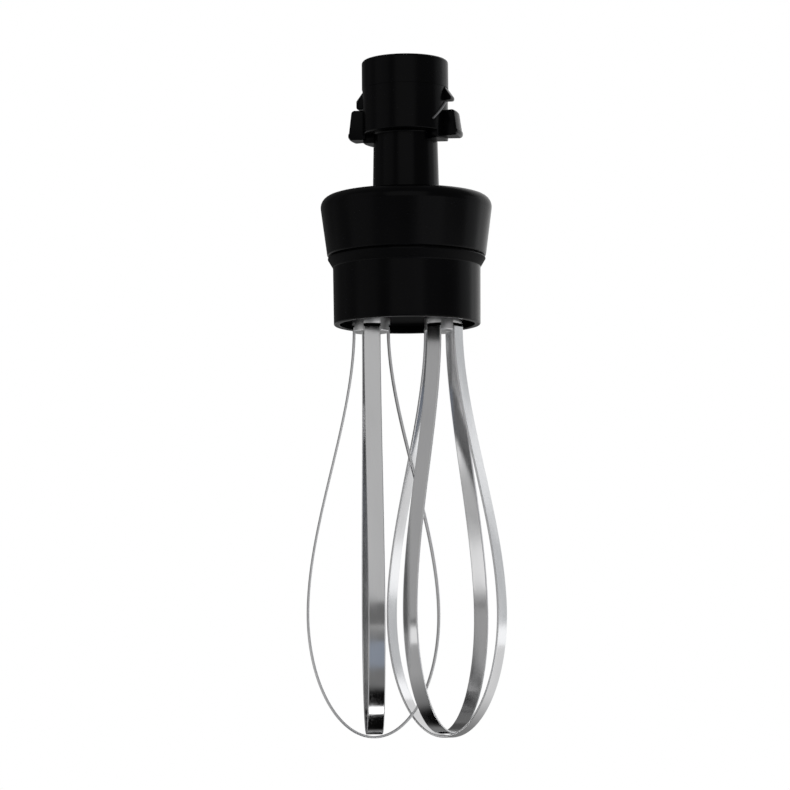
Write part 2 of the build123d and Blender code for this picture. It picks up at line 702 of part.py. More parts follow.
# Everything that each whisk has for itself
whisks = [
    ("left", left_axis, left_gear_phase, left_whisk_angle),
    ("right", right_axis, right_gear_phase, right_whisk_angle),
]
for side, x, gear_phase, whisk_angle in whisks:
    turning = axis_at(x)

    # Sintered bushes: a plain one in the ceiling and a long flanged one in the floor
    with BuildPart() as upper_bush:
        bush_bore = spindle_radius + running_clearance
        revolve(
            tube(bush_bore, bush_radius, upper_bush_foot, upper_bush_foot + upper_bush_length, x),
            axis=turning,
        )
    upper_bush.part.label = f"{side}_upper_bush"
    export_step(upper_bush.part, f"parts/{side}_upper_bush.step")
    with BuildPart() as lower_bush:
        revolve(
            section(
                [
                    (bush_bore, seal_pocket_top),
                    (bush_radius, seal_pocket_top),
                    (bush_radius, boss_top),
                    (bush_flange_radius, boss_top),
                    (bush_flange_radius, bush_top),
                    (bush_bore, bush_top),
                ],
                x,
            ),
            axis=turning,
        )
    lower_bush.part.label = f"{side}_lower_bush"
    export_step(lower_bush.part, f"parts/{side}_lower_bush.step")

    # Lip seal that keeps batter out of the bush
    with BuildPart() as shaft_seal:
        seal_top = floor_underside + shaft_seal_thickness
        lip_radius = spindle_radius + running_clearance
        revolve(
            section(
                [
                    (lip_radius, floor_underside + shaft_seal_lip),
                    (lip_radius + shaft_seal_lip, floor_underside),
                    (shaft_seal_radius, floor_underside),
                    (shaft_seal_radius, seal_top),
                    (lip_radius + shaft_seal_lip, seal_top),
                    (lip_radius + shaft_seal_lip, floor_underside + 2 * shaft_seal_lip),
                ],
                x,
            ),
            axis=turning,
        )
    shaft_seal.part.label = f"{side}_shaft_seal"
    export_step(shaft_seal.part, f"parts/{side}_shaft_seal.step")

    # Spindle, with a shoulder under its gear and a ring groove above it
    with BuildPart() as spindle:
        spindle_top = upper_bush_foot + upper_bush_length - float_gap
        shoulder_foot = whisk_level_foot - shoulder_drop
        ring_top = whisk_level_top + ring_thickness + running_clearance
        groove_floor = spindle_radius - ring_groove_depth
        revolve(
            section(
                [
                    (0, hub_foot + hub_edge),
                    (spindle_radius, hub_foot + hub_edge),
                    (spindle_radius, shoulder_foot),
                    (spindle_shoulder_radius, shoulder_foot),
                    (spindle_shoulder_radius, whisk_level_foot),
                    (spindle_radius, whisk_level_foot),
                    (spindle_radius, whisk_level_top),
                    (groove_floor, whisk_level_top),
                    (groove_floor, ring_top),
                    (spindle_radius, ring_top),
                    (spindle_radius, spindle_top),
                    (0, spindle_top),
                ],
                x,
            ),
            axis=turning,
        )
    spindle.part.label = f"{side}_spindle"
    export_step(spindle.part, f"parts/{side}_spindle.step")

    with BuildPart() as whisk_gear:
        wheel = gear_face(
            whisk_gear_teeth, whisk_module, whisk_gear_tip, whisk_gear_root, gear_phase, whisk_level_foot, x
        )
        extrude(wheel, amount=whisk_gear_width)
        bore = spindle_radius + seat_clearance
        revolve(tube(0, bore, whisk_level_foot, whisk_level_top, x), axis=turning, mode=Mode.SUBTRACT)
    whisk_gear.part.label = f"{side}_gear"
    export_step(whisk_gear.part, f"parts/{side}_gear.step")

    with BuildPart() as retaining_ring:
        revolve(
            ring_part(x, spindle_radius, whisk_level_top), axis=turning, revolution_arc=360 - ring_opening
        )
    retaining_ring.part.label = f"{side}_retaining_ring"
    export_step(retaining_ring.part, f"parts/{side}_retaining_ring.step")

    # Hub: a shoulder over four open slots that take the strip ends, with a pocket over each end
    with BuildPart() as hub:
        bore = spindle_radius + seat_clearance
        revolve(
            section(
                [
                    (bore, hub_foot),
                    (hub_radius - hub_edge, hub_foot),
                    (hub_radius, hub_foot + hub_edge),
                    (hub_radius, hub_top - hub_edge),
                    (hub_radius - hub_edge, hub_top),
                    (bore, hub_top),
                ],
                x,
            ),
            axis=turning,
        )
        slot_floor = strip_seat_radius - strip_slot_clearance
        with BuildSketch(Plane((x, 0, hub_foot))) as slots:
            with PolarLocations(slot_floor + hub_radius / 2, 4, start_angle=whisk_angle):
                Rectangle(hub_radius, strip_width + 2 * strip_slot_clearance)
        extrude(slots.sketch, amount=hub_height - hub_shoulder, mode=Mode.SUBTRACT)
        with BuildSketch(Plane((x, 0, strip_top))) as pockets:
            with PolarLocations(slot_floor - strip_pocket_depth + hub_radius / 2, 4, start_angle=whisk_angle):
                Rectangle(hub_radius, strip_width + 2 * strip_slot_clearance)
        extrude(pockets.sketch, amount=strip_end_gap, mode=Mode.SUBTRACT)
    hub.part.label = f"{side}_hub"
    export_step(hub.part, f"parts/{side}_hub.step")

    # Two crossed loops of flat strip, the inner one shorter so that they clear each other at the tip
    loops = [
        ("outer_loop", whisk_angle, 0.0),
        ("inner_loop", whisk_angle + 90, strip_thickness + loop_cross_gap),
    ]
    for loop_name, loop_angle, rise in loops:
        across = (cos(radians(loop_angle)), sin(radians(loop_angle)), 0)
        normal = (sin(radians(loop_angle)), -cos(radians(loop_angle)), 0)
        loop_depth = loop_widest - loop_tip - strip_thickness / 2 - rise
        with BuildPart() as loop:
            with BuildSketch(Plane((x, 0, 0), x_dir=across, z_dir=normal)) as band:
                with BuildLine() as centreline:
                    for hand in (-1, 1):
                        Bezier(
                            (hand * strip_line_radius, strip_top),
                            (hand * strip_line_radius, strip_top - loop_seat_pull),
                            (hand * loop_half_width, loop_widest + loop_waist_pull),
                            (hand * loop_half_width, loop_widest),
                        )
                    EllipticalCenterArc(
                        (0, loop_widest), loop_half_width, loop_depth, start_angle=180, arc_size=180
                    )
                trace(centreline.edges(), line_width=strip_thickness)
            extrude(amount=strip_width / 2, both=True)
        loop.part.label = f"{side}_{loop_name}"
        export_step(loop.part, f"parts/{side}_{loop_name}.step")
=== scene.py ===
# %% [markdown]
# # A twin whisk attachment, dressed in Blender
#
# The real object is a tool for a stick blender: a black moulded gear housing with a bayonet collar, and
# under it two counter-rotating whisks bent from flat stainless strip. Its solids, joints and sizes come
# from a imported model, which is loaded here as a fixed frame. This lesson gives the pieces that show their
# fine form and their finishes.

# %% Load the frame
import json
import math

import bmesh
import bpy
import numpy as np
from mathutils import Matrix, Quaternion, Vector


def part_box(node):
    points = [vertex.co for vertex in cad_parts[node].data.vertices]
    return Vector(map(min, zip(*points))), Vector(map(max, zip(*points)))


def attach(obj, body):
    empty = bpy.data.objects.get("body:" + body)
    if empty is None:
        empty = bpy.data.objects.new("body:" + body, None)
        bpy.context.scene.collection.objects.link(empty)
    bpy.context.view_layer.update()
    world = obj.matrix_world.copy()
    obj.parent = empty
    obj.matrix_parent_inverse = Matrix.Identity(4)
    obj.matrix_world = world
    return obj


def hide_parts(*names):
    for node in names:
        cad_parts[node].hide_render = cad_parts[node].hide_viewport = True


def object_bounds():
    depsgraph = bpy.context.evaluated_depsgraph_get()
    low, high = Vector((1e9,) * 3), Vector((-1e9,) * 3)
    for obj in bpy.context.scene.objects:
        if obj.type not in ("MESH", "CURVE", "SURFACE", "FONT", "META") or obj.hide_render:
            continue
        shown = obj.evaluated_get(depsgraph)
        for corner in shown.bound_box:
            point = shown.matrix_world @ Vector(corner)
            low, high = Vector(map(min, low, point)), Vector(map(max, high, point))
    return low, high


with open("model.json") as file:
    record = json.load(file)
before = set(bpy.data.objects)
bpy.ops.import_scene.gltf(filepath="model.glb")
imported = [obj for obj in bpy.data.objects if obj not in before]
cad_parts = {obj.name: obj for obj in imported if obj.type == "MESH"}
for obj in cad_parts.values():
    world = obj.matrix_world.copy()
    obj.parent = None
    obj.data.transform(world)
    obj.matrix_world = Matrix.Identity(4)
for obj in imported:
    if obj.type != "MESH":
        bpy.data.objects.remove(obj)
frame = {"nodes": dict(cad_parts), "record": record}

MM = 0.001
cad_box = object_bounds()
scene = bpy.context.scene

# %% [markdown]
# ## Surfaces from arrays
#
# Every new piece is a grid of points: one parameter runs along an outline and the other around an axis or
# along a path. The points are worked out as whole arrays, and one helper turns any grid into a mesh.
# Writing the formula down is clearer than pushing vertices about, and the density can be changed in one
# place.

# %% Faces of a grid
def grid_faces(rows, columns, wrap_rows, wrap_columns, first=0):
    """Quads between neighbouring points of a grid, numbered row by row from a first index."""
    index = first + np.arange(rows * columns).reshape(rows, columns)
    if wrap_rows:
        index = np.vstack([index, index[:1]])
    if wrap_columns:
        index = np.hstack([index, index[:, :1]])
    corners = (index[:-1, :-1], index[:-1, 1:], index[1:, 1:], index[1:, :-1])
    return np.stack(corners, axis=-1).reshape(-1, 4)


print("faces of a grid of 3 by 4 points", len(grid_faces(3, 4, False, False)))

# %% [markdown]
# A piece is often made of several grids. They could be objects that are joined later. Here they are
# collected first, each with UV values that tell a finish where it changes, and become one mesh that
# already holds its place.

# %% Shapes from grids
MERGE_REACH = 0.002 * MM


class Shape:
    """Collects grids, in millimetres, that become one mesh."""

    def __init__(self):
        self.points = []
        self.faces = []
        self.uvs = []
        self.count = 0

    def grid(self, points, wrap_rows=False, wrap_columns=False, caps=False, uv=None):
        """Adds a (rows, columns, 3) grid, with flat caps on its first and last row if asked."""
        rows, columns = points.shape[:2]
        self.faces += grid_faces(rows, columns, wrap_rows, wrap_columns, self.count).tolist()
        if caps:
            last = self.count + (rows - 1) * columns
            self.faces.append(list(range(self.count + columns - 1, self.count - 1, -1)))
            self.faces.append(list(range(last, last + columns)))
        self.points.append(points.reshape(-1, 3))
        self.uvs.append(np.zeros((rows * columns, 2)) if uv is None else uv.reshape(-1, 2))
        self.count += rows * columns
        return self

    def build(self, name, sharp=40.0):
        """Makes the object: smooth faces, sharp where they meet at more than an angle, normals outwards."""
        mesh = bpy.data.meshes.new(name)
        mesh.from_pydata((np.vstack(self.points) * MM).tolist(), [], self.faces)
        layer = mesh.uv_layers.new(name="UVMap")
        corner_vertex = np.zeros(len(mesh.loops), int)
        mesh.loops.foreach_get("vertex_index", corner_vertex)
        layer.data.foreach_set("uv", np.vstack(self.uvs)[corner_vertex].astype(np.float32).ravel())
        mesh.polygons.foreach_set("use_smooth", np.ones(len(mesh.polygons), bool))
        mesh.validate()
        mesh.update()
        piece = bpy.data.objects.new(name, mesh)
        scene.collection.objects.link(piece)
        turn_outwards(piece)
        mesh.set_sharp_from_angle(angle=math.radians(sharp))
        return piece


def turn_outwards(piece):
    """Closes a mesh's poles by merging points that coincide, then turns its faces outwards."""
    work = bmesh.new()
    work.from_mesh(piece.data)
    bmesh.ops.remove_doubles(work, verts=work.verts, dist=MERGE_REACH)
    bmesh.ops.dissolve_degenerate(work, edges=work.edges, dist=MERGE_REACH)
    bmesh.ops.recalc_face_normals(work, faces=work.faces)
    work.to_mesh(piece.data)
    work.free()


print("points merge within mm", MERGE_REACH / MM)

# %% [markdown]
# Most pieces here are turned or carried along a path, so they start as an outline. Real mouldings and
# turned parts have no perfectly sharp edge, so each corner of an outline gets a small arc. A bevel
# modifier could do that later, but an arc in the outline keeps its size wherever the surface bends.

# %% Outlines and turning
def rounded(corners, steps=7, support=0.12):
    """Closed outline through (x, y, radius) corners, each corner an arc with a support point at each end.

    The arc's tangent points lie radius / tan(half the corner's angle) from the corner.
    """
    corners = np.array(corners, float)
    points = corners[:, :2]
    before = np.roll(points, 1, axis=0) - points
    after = np.roll(points, -1, axis=0) - points
    before /= np.linalg.norm(before, axis=1, keepdims=True)
    after /= np.linalg.norm(after, axis=1, keepdims=True)
    outline = []
    for point, radius, a, b in zip(points, corners[:, 2], before, after):
        if radius == 0:
            outline.append(point[None])
            continue
        half = math.acos(np.clip(a @ b, -1, 1)) / 2
        reach = radius / math.tan(half)
        bisector = (a + b) / np.linalg.norm(a + b)
        centre = point + bisector * radius / math.sin(half)
        start = point + a * reach - centre
        end = point + b * reach - centre
        turn = math.pi - 2 * half
        share = np.linspace(0, 1, steps)[:, None]
        arc = (np.sin((1 - share) * turn) * start + np.sin(share * turn) * end) / math.sin(turn)
        run_in = (point + a * (reach + support))[None]
        run_out = (point + b * (reach + support))[None]
        outline.append(np.vstack([run_in, centre + arc, run_out]))
    return np.vstack(outline)


def turned(outline, x=0.0, y=0.0, segments=192, start=0.0):
    """Surface of revolution: a point is (x + radius cos angle, y + radius sin angle, height)."""
    angle = np.radians(start) + np.arange(segments) * 2 * np.pi / segments
    radius, height = outline[None, :, 0], outline[None, :, 1]
    return np.stack(
        [
            x + radius * np.cos(angle)[:, None],
            y + radius * np.sin(angle)[:, None],
            np.broadcast_to(height, (segments, outline.shape[0])),
        ],
        axis=-1,
    )


print("points of a rounded square", len(rounded([(0, 0, 1), (9, 0, 1), (9, 9, 1), (0, 9, 1)])))

# %% [markdown]
# ## Shader maths in Python
#
# A finish is a small formula: a colour and a roughness that change over the surface, and a fine relief.
# One class wraps a node socket so that the formula can be written with ordinary operators, and one method
# adds any other node.

# %% Numbers as sockets
class Value:
    """A number socket. Each operator adds one Math node."""

    def __init__(self, nodes, socket):
        self.nodes = nodes
        self.socket = socket

    def math(self, operation, *operands):
        """One Math node, with values and plain numbers as its operands."""
        return self.nodes.node("ShaderNodeMath", {"operation": operation}, dict(enumerate(operands)))

    def __add__(self, other):
        return self.math("ADD", self, other)

    def __sub__(self, other):
        return self.math("SUBTRACT", self, other)

    def __rsub__(self, other):
        return self.math("SUBTRACT", other, self)

    def __mul__(self, other):
        return self.math("MULTIPLY", self, other)

    __radd__ = __add__
    __rmul__ = __mul__

    def between(self, low, high):
        """0 below low, 1 above high, smooth between."""
        settings = {"interpolation_type": "SMOOTHSTEP"}
        return self.nodes.node("ShaderNodeMapRange", settings, {"Value": self, 1: low, 2: high})


# %% [markdown]
# A node tree can be filled node by node, which takes four lines each. Here one method adds a node, sets
# it and links it, and the nodes used most get a short name on top of it.

# %% Node trees
class Nodes:
    """A node tree, one method that adds any node, and short names for the ones used most."""

    def __init__(self, tree):
        self.tree = tree

    def node(self, kind, settings=None, sockets=None, output=0):
        """Adds a node, sets its settings, then its sockets, and returns one of its outputs."""
        made = self.tree.nodes.new(kind)
        for key, value in (settings or {}).items():
            setattr(made, key, value)
        for key, value in (sockets or {}).items():
            if isinstance(value, Value):
                self.tree.links.new(value.socket, made.inputs[key])
            else:
                made.inputs[key].default_value = value
        return Value(self, made.outputs[output])

    def place(self):
        """Object coordinates, in metres."""
        return self.node("ShaderNodeTexCoord", output="Object")

    def along(self):
        """The piece's own UV map."""
        return self.node("ShaderNodeTexCoord", output="UV")

    def part(self, vector, axis):
        """One number of a vector, by the letter of its axis."""
        return self.node("ShaderNodeSeparateXYZ", {}, {"Vector": vector}, output=axis)

    def ray(self, kind):
        """1 for rays of one kind, 0 for the others."""
        return self.node("ShaderNodeLightPath", output=f"Is {kind} Ray")

    def stretched(self, coordinates, scale):
        """Coordinates times a scale on each axis. A larger scale makes a pattern finer along that axis."""
        return self.node("ShaderNodeMapping", {}, {"Vector": coordinates, "Scale": scale})

    def noise(self, coordinates, scale, detail=2.0, rough=0.5):
        """Cloudy noise from 0 to 1: a sum of octaves, each weaker than the last by the rough share."""
        sockets = {"Vector": coordinates, "Scale": scale, "Detail": detail, "Roughness": rough}
        return self.node("ShaderNodeTexNoise", {}, sockets)

    def blend(self, share, first, second):
        """A colour between two colours."""
        sockets = {"Factor": share, 6: first, 7: second}
        return self.node("ShaderNodeMix", {"data_type": "RGBA"}, sockets, output=2)

    def relief(self, height, depth, strength=1.0):
        """A normal from a height, whose full range stands for a depth in metres."""
        return self.node("ShaderNodeBump", {}, {"Height": height, "Distance": depth, "Strength": strength})


# %% [markdown]
# Every finish ends in one Principled shader. Its constants are set when the finish is made, and what
# varies over the surface is fed in afterwards. A trial shows how many nodes a noise, a product and a sum
# take.

# %% Materials as finishes
class Finish(Nodes):
    """A material with one Principled shader at its end."""

    def __init__(self, name, **constants):
        self.material = bpy.data.materials.new(name)
        self.material.use_nodes = True
        super().__init__(self.material.node_tree)
        self.shader = self.tree.nodes["Principled BSDF"]
        for socket, value in constants.items():
            self.shader.inputs[socket.replace("_", " ")].default_value = value

    def set(self, **sockets):
        """Feeds sockets of the Principled shader."""
        for socket, value in sockets.items():
            self.tree.links.new(value.socket, self.shader.inputs[socket.replace("_", " ")])

    def surface(self, shader):
        """Puts another shader at the material's end."""
        self.tree.links.new(shader.socket, self.tree.nodes["Material Output"].inputs["Surface"])

    def done(self):
        """Says how many nodes the finish took, and returns its material."""
        print("finish", self.material.name, "nodes", len(self.tree.nodes))
        return self.material


trial = Finish("trial")
trial.set(Roughness=0.2 + 0.5 * trial.noise(trial.place(), 10.0))
bpy.data.materials.remove(trial.done())

# %% [markdown]
# ## The black moulding
#
# The housing is a glass-filled nylon moulding, near black, with a satin spark-eroded skin. A fine noise
# gives the skin its grain, and a slow one makes it a little glossier where it has been handled, so a
# reflection breaks up as it does on the real part. A picture of the grain could be wrapped round instead,
# but noise has no seam. The lugs' lips and the slanting ribs' crests carry a painted highlight, a pale grey
# in the colour that also makes them a little glossier, and the recess under the cup and the band under the
# seam keep a coarse matt skin. The mesh says where: the first number of its UV map is the painted
# highlight, and the second is 1 on a coarse face.

# %% Black moulding finish
def moulding_finish():
    """Near-black skin. Roughness is satin plus handling plus grain, less under the painted highlight, more
    where coarse.
    """
    finish = Finish("black_moulding", Metallic=0.0, Specular_IOR_Level=0.08)
    place = finish.place()
    grain = finish.noise(place, 2600.0, 3.0, 0.6)
    handled = finish.noise(place, 38.0, 2.0, 0.5)
    flow = finish.noise(finish.stretched(place, (60.0, 60.0, 14.0)), 1.0, 2.0)
    skin_marks = finish.along()
    # Painted highlight: the first UV number, pale on the lugs' lips and the ribs' crests
    painted_light = finish.part(skin_marks, "X") * (0.5 + 0.5 * flow.between(0.3, 0.6))
    coarse = finish.part(skin_marks, "Y")
    satin = 0.19 + 0.07 * handled.between(0.35, 0.7) + 0.04 * grain
    skin = finish.blend(flow, (0.0008, 0.0008, 0.0010, 1), (0.0018, 0.0018, 0.0023, 1))
    finish.set(
        # The pale grey is a painted highlight mixed into the skin's colour
        Base_Color=finish.blend(painted_light, skin, (0.34, 0.34, 0.35, 1)),
        Roughness=satin - 0.06 * painted_light + 0.55 * coarse,
        Normal=finish.relief(grain, 0.00002, 0.35),
    )
    return finish.done()


black_moulding = moulding_finish()

# %% [markdown]
# ## Stainless strip
#
# The loops are rolled stainless strip: bright, with fine lines along its length from the rolls and faint
# wiping marks across it. The lines follow the strip round its bends, so the pattern reads the strip's own
# UV map: metres along it, and half turns round its section. The edges lie at whole numbers of half turns.
# They are less smooth from the edge rolls, and their colour is painted lighter as a highlight.

# %% Strip finish
def strip_finish():
    """Bright strip. Its roughness is a base, plus fine lines, plus patches, plus more on the rolled edges."""
    finish = Finish("strip_steel", Metallic=1.0)
    along = finish.along()
    half_turns = finish.part(along, "Y")
    edge = 1 - half_turns.math("PINGPONG", half_turns, 0.5).between(0.07, 0.11)
    lines = finish.noise(finish.stretched(along, (26.0, 42.0, 1.0)), 1.0, 3.0, 0.6)
    patches = finish.noise(finish.stretched(along, (45.0, 1.3, 1.0)), 1.0, 2.0)
    face = finish.blend(patches, (0.57, 0.57, 0.575, 1), (0.66, 0.66, 0.665, 1))
    finish.set(
        # The edges' lighter colour is a painted highlight
        Base_Color=finish.blend(edge, face, (0.80, 0.80, 0.805, 1)),
        Roughness=0.07 + 0.07 * lines + 0.05 * patches.between(0.4, 0.7) + 0.22 * edge,
        Normal=finish.relief(lines, 0.000006, 0.5),
    )
    return finish.done()


strip_steel = strip_finish()

# %% [markdown]
# ## Turned steel and the hidden metals
#
# The hubs are turned, so fine rings run round their axis. A noise that is stretched flat across the axis
# gives such rings. An anisotropic shader could do so too, but rings in the relief also show close up. The
# metals inside share the same recipe with other colours and roughness. The hub's pockets over the strip
# ends are painted near black as shade, and rougher, which the mesh marks in the first number of its UV map.

# %% Turned metal finishes
def grey(level, warmth=0.0):
    """A nearly neutral colour."""
    return (level * (1 + warmth), level, level * (1 - warmth), 1.0)


def turned_finish(name, dark, light, rough, ring=4200.0, pocket_shade=False):
    """Turned metal. Roughness is a base plus rings plus stain, and painted shade in the pockets darkens and
    roughens it.
    """
    finish = Finish(name, Metallic=1.0)
    place = finish.place()
    rings = finish.noise(finish.stretched(place, (40.0, 40.0, ring)), 1.0, 3.0, 0.6)
    stain = finish.noise(place, 220.0, 3.0)
    colour = finish.blend(stain, dark, light)
    roughness = rough + 0.12 * rings + 0.06 * stain
    if pocket_shade:
        # Painted shade: the pockets turn near black
        scale = finish.part(finish.along(), "X")
        colour = finish.blend(scale, colour, grey(0.012))
        roughness = roughness + 0.4 * scale
    finish.set(Base_Color=colour, Roughness=roughness, Normal=finish.relief(rings, 0.00001, 0.5))
    return finish.done()


hub_steel = turned_finish("hub_steel", grey(0.74), grey(0.90), 0.24, pocket_shade=True)
shaft_steel = turned_finish("shaft_steel", grey(0.48), grey(0.58), 0.22)
bearing_steel = turned_finish("bearing_steel", grey(0.58), grey(0.66), 0.10)
dog_metal = turned_finish("dog_metal", grey(0.50), grey(0.62), 0.34)
screw_steel = turned_finish("screw_steel", grey(0.52, 0.01), grey(0.62, 0.01), 0.28)
bush_bronze = turned_finish("bush_bronze", (0.42, 0.27, 0.12, 1), (0.56, 0.38, 0.18, 1), 0.36)

# %% [markdown]
# The seals are black rubber, and the gears a pale acetal. Both are matt and plain, so a slow change of
# shade and a fine grain are enough.

# %% Plain mouldings inside
def soft_finish(name, dark, light, rough, grain=1800.0):
    """Matt moulding. Its shade follows a slow noise, and its roughness is a base plus a fine grain."""
    finish = Finish(name, Metallic=0.0)
    place = finish.place()
    fine = finish.noise(place, grain, 3.0, 0.6)
    slow = finish.noise(place, 90.0, 2.0)
    finish.set(
        Base_Color=finish.blend(slow, dark, light),
        Roughness=rough + 0.12 * fine,
        Normal=finish.relief(fine, 0.00002, 0.4),
    )
    return finish.done()


seal_rubber = soft_finish("seal_rubber", grey(0.010), grey(0.022), 0.55)
gear_plastic = soft_finish("gear_plastic", grey(0.70, 0.03), grey(0.80, 0.03), 0.38)

# %% [markdown]
# ## Upper housing
#
# Collar, neck and drum are one moulding. Its section is an outline of radius against height with a small
# round on each edge, turned about the drive axis. The bayonet's lugs, nibs and slanting ribs are grids of
# their own that grow out of the collar's wall. Bevelled primitives could be joined instead, but an outline
# keeps every size in one list.

# %% Upper housing sizes
def span(node):
    """Lowest and highest corner of a node, in millimetres."""
    low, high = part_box(node)
    return np.array(low) / MM, np.array(high) / MM


upper_low, upper_high = span("upper_housing")
COLLAR_RADIUS = 19.3
LAND_RADIUS = COLLAR_RADIUS - 0.25
COLLAR_BORE = 15.5
COLLAR_TOP = upper_high[2]
COLLAR_FOOT = -20.3
COLLAR_FLOOR = span("upper_bearing_outer_race")[1][2]
BEARING_SEAT = span("upper_bearing_outer_race")[1][0] + 0.03
NECK_TOP_RADIUS = 14.2
NECK_FOOT_RADIUS = 14.8
DRUM_TOP = -48.2
DRUM_RADIUS = 38.1
DRUM_ROUND = 5.0
SKIRT_FOOT = upper_low[2]
SKIRT_FOOT_RADIUS = 35.2
SKIRT_WALL = 2.4
CEILING = DRUM_TOP - 3.0
SHOULDER_BORE = 9.0
BEARING_WIDTH = 7.0
skirt_slope = (DRUM_RADIUS - SKIRT_FOOT_RADIUS) / (DRUM_TOP - DRUM_ROUND - SKIRT_FOOT)


def skirt_radius(height):
    """Outer radius of the tapered skirt: its foot's radius plus slope times height above the foot."""
    return SKIRT_FOOT_RADIUS + skirt_slope * (height - SKIRT_FOOT)


print("skirt taper degrees", round(math.degrees(math.atan(skirt_slope)), 2))

# %% Upper housing shell
upper_outline = rounded(
    [
        (COLLAR_BORE, COLLAR_TOP, 0.5),
        (COLLAR_RADIUS, COLLAR_TOP, 1.4),
        (COLLAR_RADIUS, 0.0, 0),
        (LAND_RADIUS, 0.0, 0),
        (LAND_RADIUS, COLLAR_FOOT, 0.6),
        (NECK_TOP_RADIUS, COLLAR_FOOT, 0.8),
        (NECK_FOOT_RADIUS, DRUM_TOP, 1.2),
        (skirt_radius(DRUM_TOP), DRUM_TOP, DRUM_ROUND),
        (SKIRT_FOOT_RADIUS, SKIRT_FOOT, 0.8),
        (SKIRT_FOOT_RADIUS - SKIRT_WALL, SKIRT_FOOT, 0.3),
        (skirt_radius(CEILING) - SKIRT_WALL, CEILING, 3.0),
        (BEARING_SEAT, CEILING, 0.2),
        (BEARING_SEAT, CEILING + BEARING_WIDTH, 0.2),
        (SHOULDER_BORE, CEILING + BEARING_WIDTH, 0.2),
        (SHOULDER_BORE, COLLAR_FLOOR - BEARING_WIDTH, 0.2),
        (BEARING_SEAT, COLLAR_FLOOR - BEARING_WIDTH, 0.2),
        (BEARING_SEAT, COLLAR_FLOOR, 0.3),
        (COLLAR_BORE, COLLAR_FLOOR, 1.0),
    ],
    steps=9,
)
upper = Shape()
upper.grid(turned(upper_outline, segments=256), wrap_rows=True, wrap_columns=True)
print("shell points", upper.count)

# %% [markdown]
# The bayonet locks the tool in the motor body. On each side a lug carries the load, a block under the
# collar backs it up, and a small nib above guides it in. They could be boxes bent onto the wall, but an
# outline carried round a part of a turn follows the wall by itself. The back pair is longer than the
# front one.

# %% Part of a turn
def sector(outline, middle, arc, edge, steps=40):
    """A (radius, height) outline carried round part of a turn, with its two ends rounded over.

    Near an end the outline shrinks towards its middle by edge - sqrt(edge^2 - depth^2), depth into the round.
    """
    centre = outline.mean(axis=0)
    reach = np.linalg.norm(outline - centre, axis=1).max()
    half = math.radians(arc) / 2
    round_angle = edge / outline[:, 0].max()
    share = np.linspace(0, 1, 7)
    ends = -half + round_angle * (1 - np.cos(share * np.pi / 2))
    angle = np.concatenate([ends, np.linspace(ends[-1], -ends[-1], steps)[1:-1], -ends[::-1]])
    depth = np.clip((np.abs(angle) - (half - round_angle)) / round_angle, 0, 1)
    inset = edge * (1 - np.sqrt(1 - depth**2))
    scale = (1 - inset / reach)[:, None, None]
    ring = centre + (outline - centre)[None] * scale
    turn = (math.radians(middle) + angle)[:, None]
    return np.stack([ring[..., 0] * np.cos(turn), ring[..., 0] * np.sin(turn), ring[..., 1]], axis=-1)


print("rows of a sector", len(sector(upper_outline, middle=0.0, arc=30.0, edge=0.5)))

# %% [markdown]
# A lug's section leans in towards its top and has a lip at its foot, a nib's is a small wedge, and a
# block's is square. The rounds are those of a moulding tool, and the roots lie inside the wall.

# %% Bayonet sections
BAYONET_ROOT = LAND_RADIUS - 1.2
LUG_FOOT = -22.3
LUG_LIP = 2.4
LUG_LIP_REACH = 25.6
LUG_FOOT_REACH = 25.3
LUG_TOP_REACH = 24.0
BLOCK_FOOT = -23.7
NIB_TOP = -0.2
NIB_REACH = 22.2


def lug_outline(top):
    """Section of a lug: a slanting face from its top to a lip at its foot."""
    return rounded(
        [
            (BAYONET_ROOT, LUG_FOOT, 0),
            (LUG_LIP_REACH, LUG_FOOT, 1.5),
            (LUG_LIP_REACH, LUG_FOOT + LUG_LIP, 0.15),
            (LUG_FOOT_REACH, LUG_FOOT + LUG_LIP, 0.08),
            (LUG_TOP_REACH, top, 1.6),
            (BAYONET_ROOT, top, 0),
        ],
        support=0.02,
    )


def nib_outline(foot, wall):
    """Section of a nib: a short upright wall at its foot, then a slope back to the collar."""
    return rounded(
        [
            (BAYONET_ROOT, foot, 0),
            (NIB_REACH, foot, 0.9),
            (NIB_REACH, foot + wall, 0.8),
            (LAND_RADIUS + 0.1, NIB_TOP, 0.3),
            (BAYONET_ROOT, NIB_TOP, 0),
        ],
        support=0.04,
    )


block_outline = rounded(
    [
        (NECK_TOP_RADIUS - 1.0, BLOCK_FOOT, 0),
        (LAND_RADIUS, BLOCK_FOOT, 0.5),
        (LAND_RADIUS, COLLAR_FOOT + 0.5, 0),
        (NECK_TOP_RADIUS - 1.0, COLLAR_FOOT + 0.5, 0),
    ]
)
print("points of a block's section", len(block_outline))

# %% [markdown]
# A lug's lip carries a painted highlight, a pale spot on its outer corner. The mesh carries that as a
# number from 0 to 1 in its UV map. A painted picture could do so too, but a number worked out from the
# section stays sharp at any size.

# %% Bayonets on the collar
LUG_ANGLE, LUG_ARC, LUG_EDGE = -14.0, 26.0, 1.1
BLOCK_ANGLE, BLOCK_ARC = -24.0, 40.0
NIB_ANGLE, NIB_ARC = -17.0, 16.0
EDGE = 0.6
LIP_HIGHLIGHT = 0.5
LIP_HIGHLIGHT_SIZE = 0.35
BAYONETS = [
    {"turn": 0.0, "lug_top": -10.7, "nib_foot": -6.2, "nib_wall": 1.6},
    {"turn": 180.0, "lug_top": -9.0, "nib_foot": -8.0, "nib_wall": 3.6},
]


def marks(points, painted_light=0.0, coarse=0.0):
    """A UV map of two numbers, the same all along the piece: painted light, and how coarse the skin is."""
    return np.stack([np.broadcast_to(mark, points.shape[:2]) for mark in (painted_light, coarse)], axis=-1)


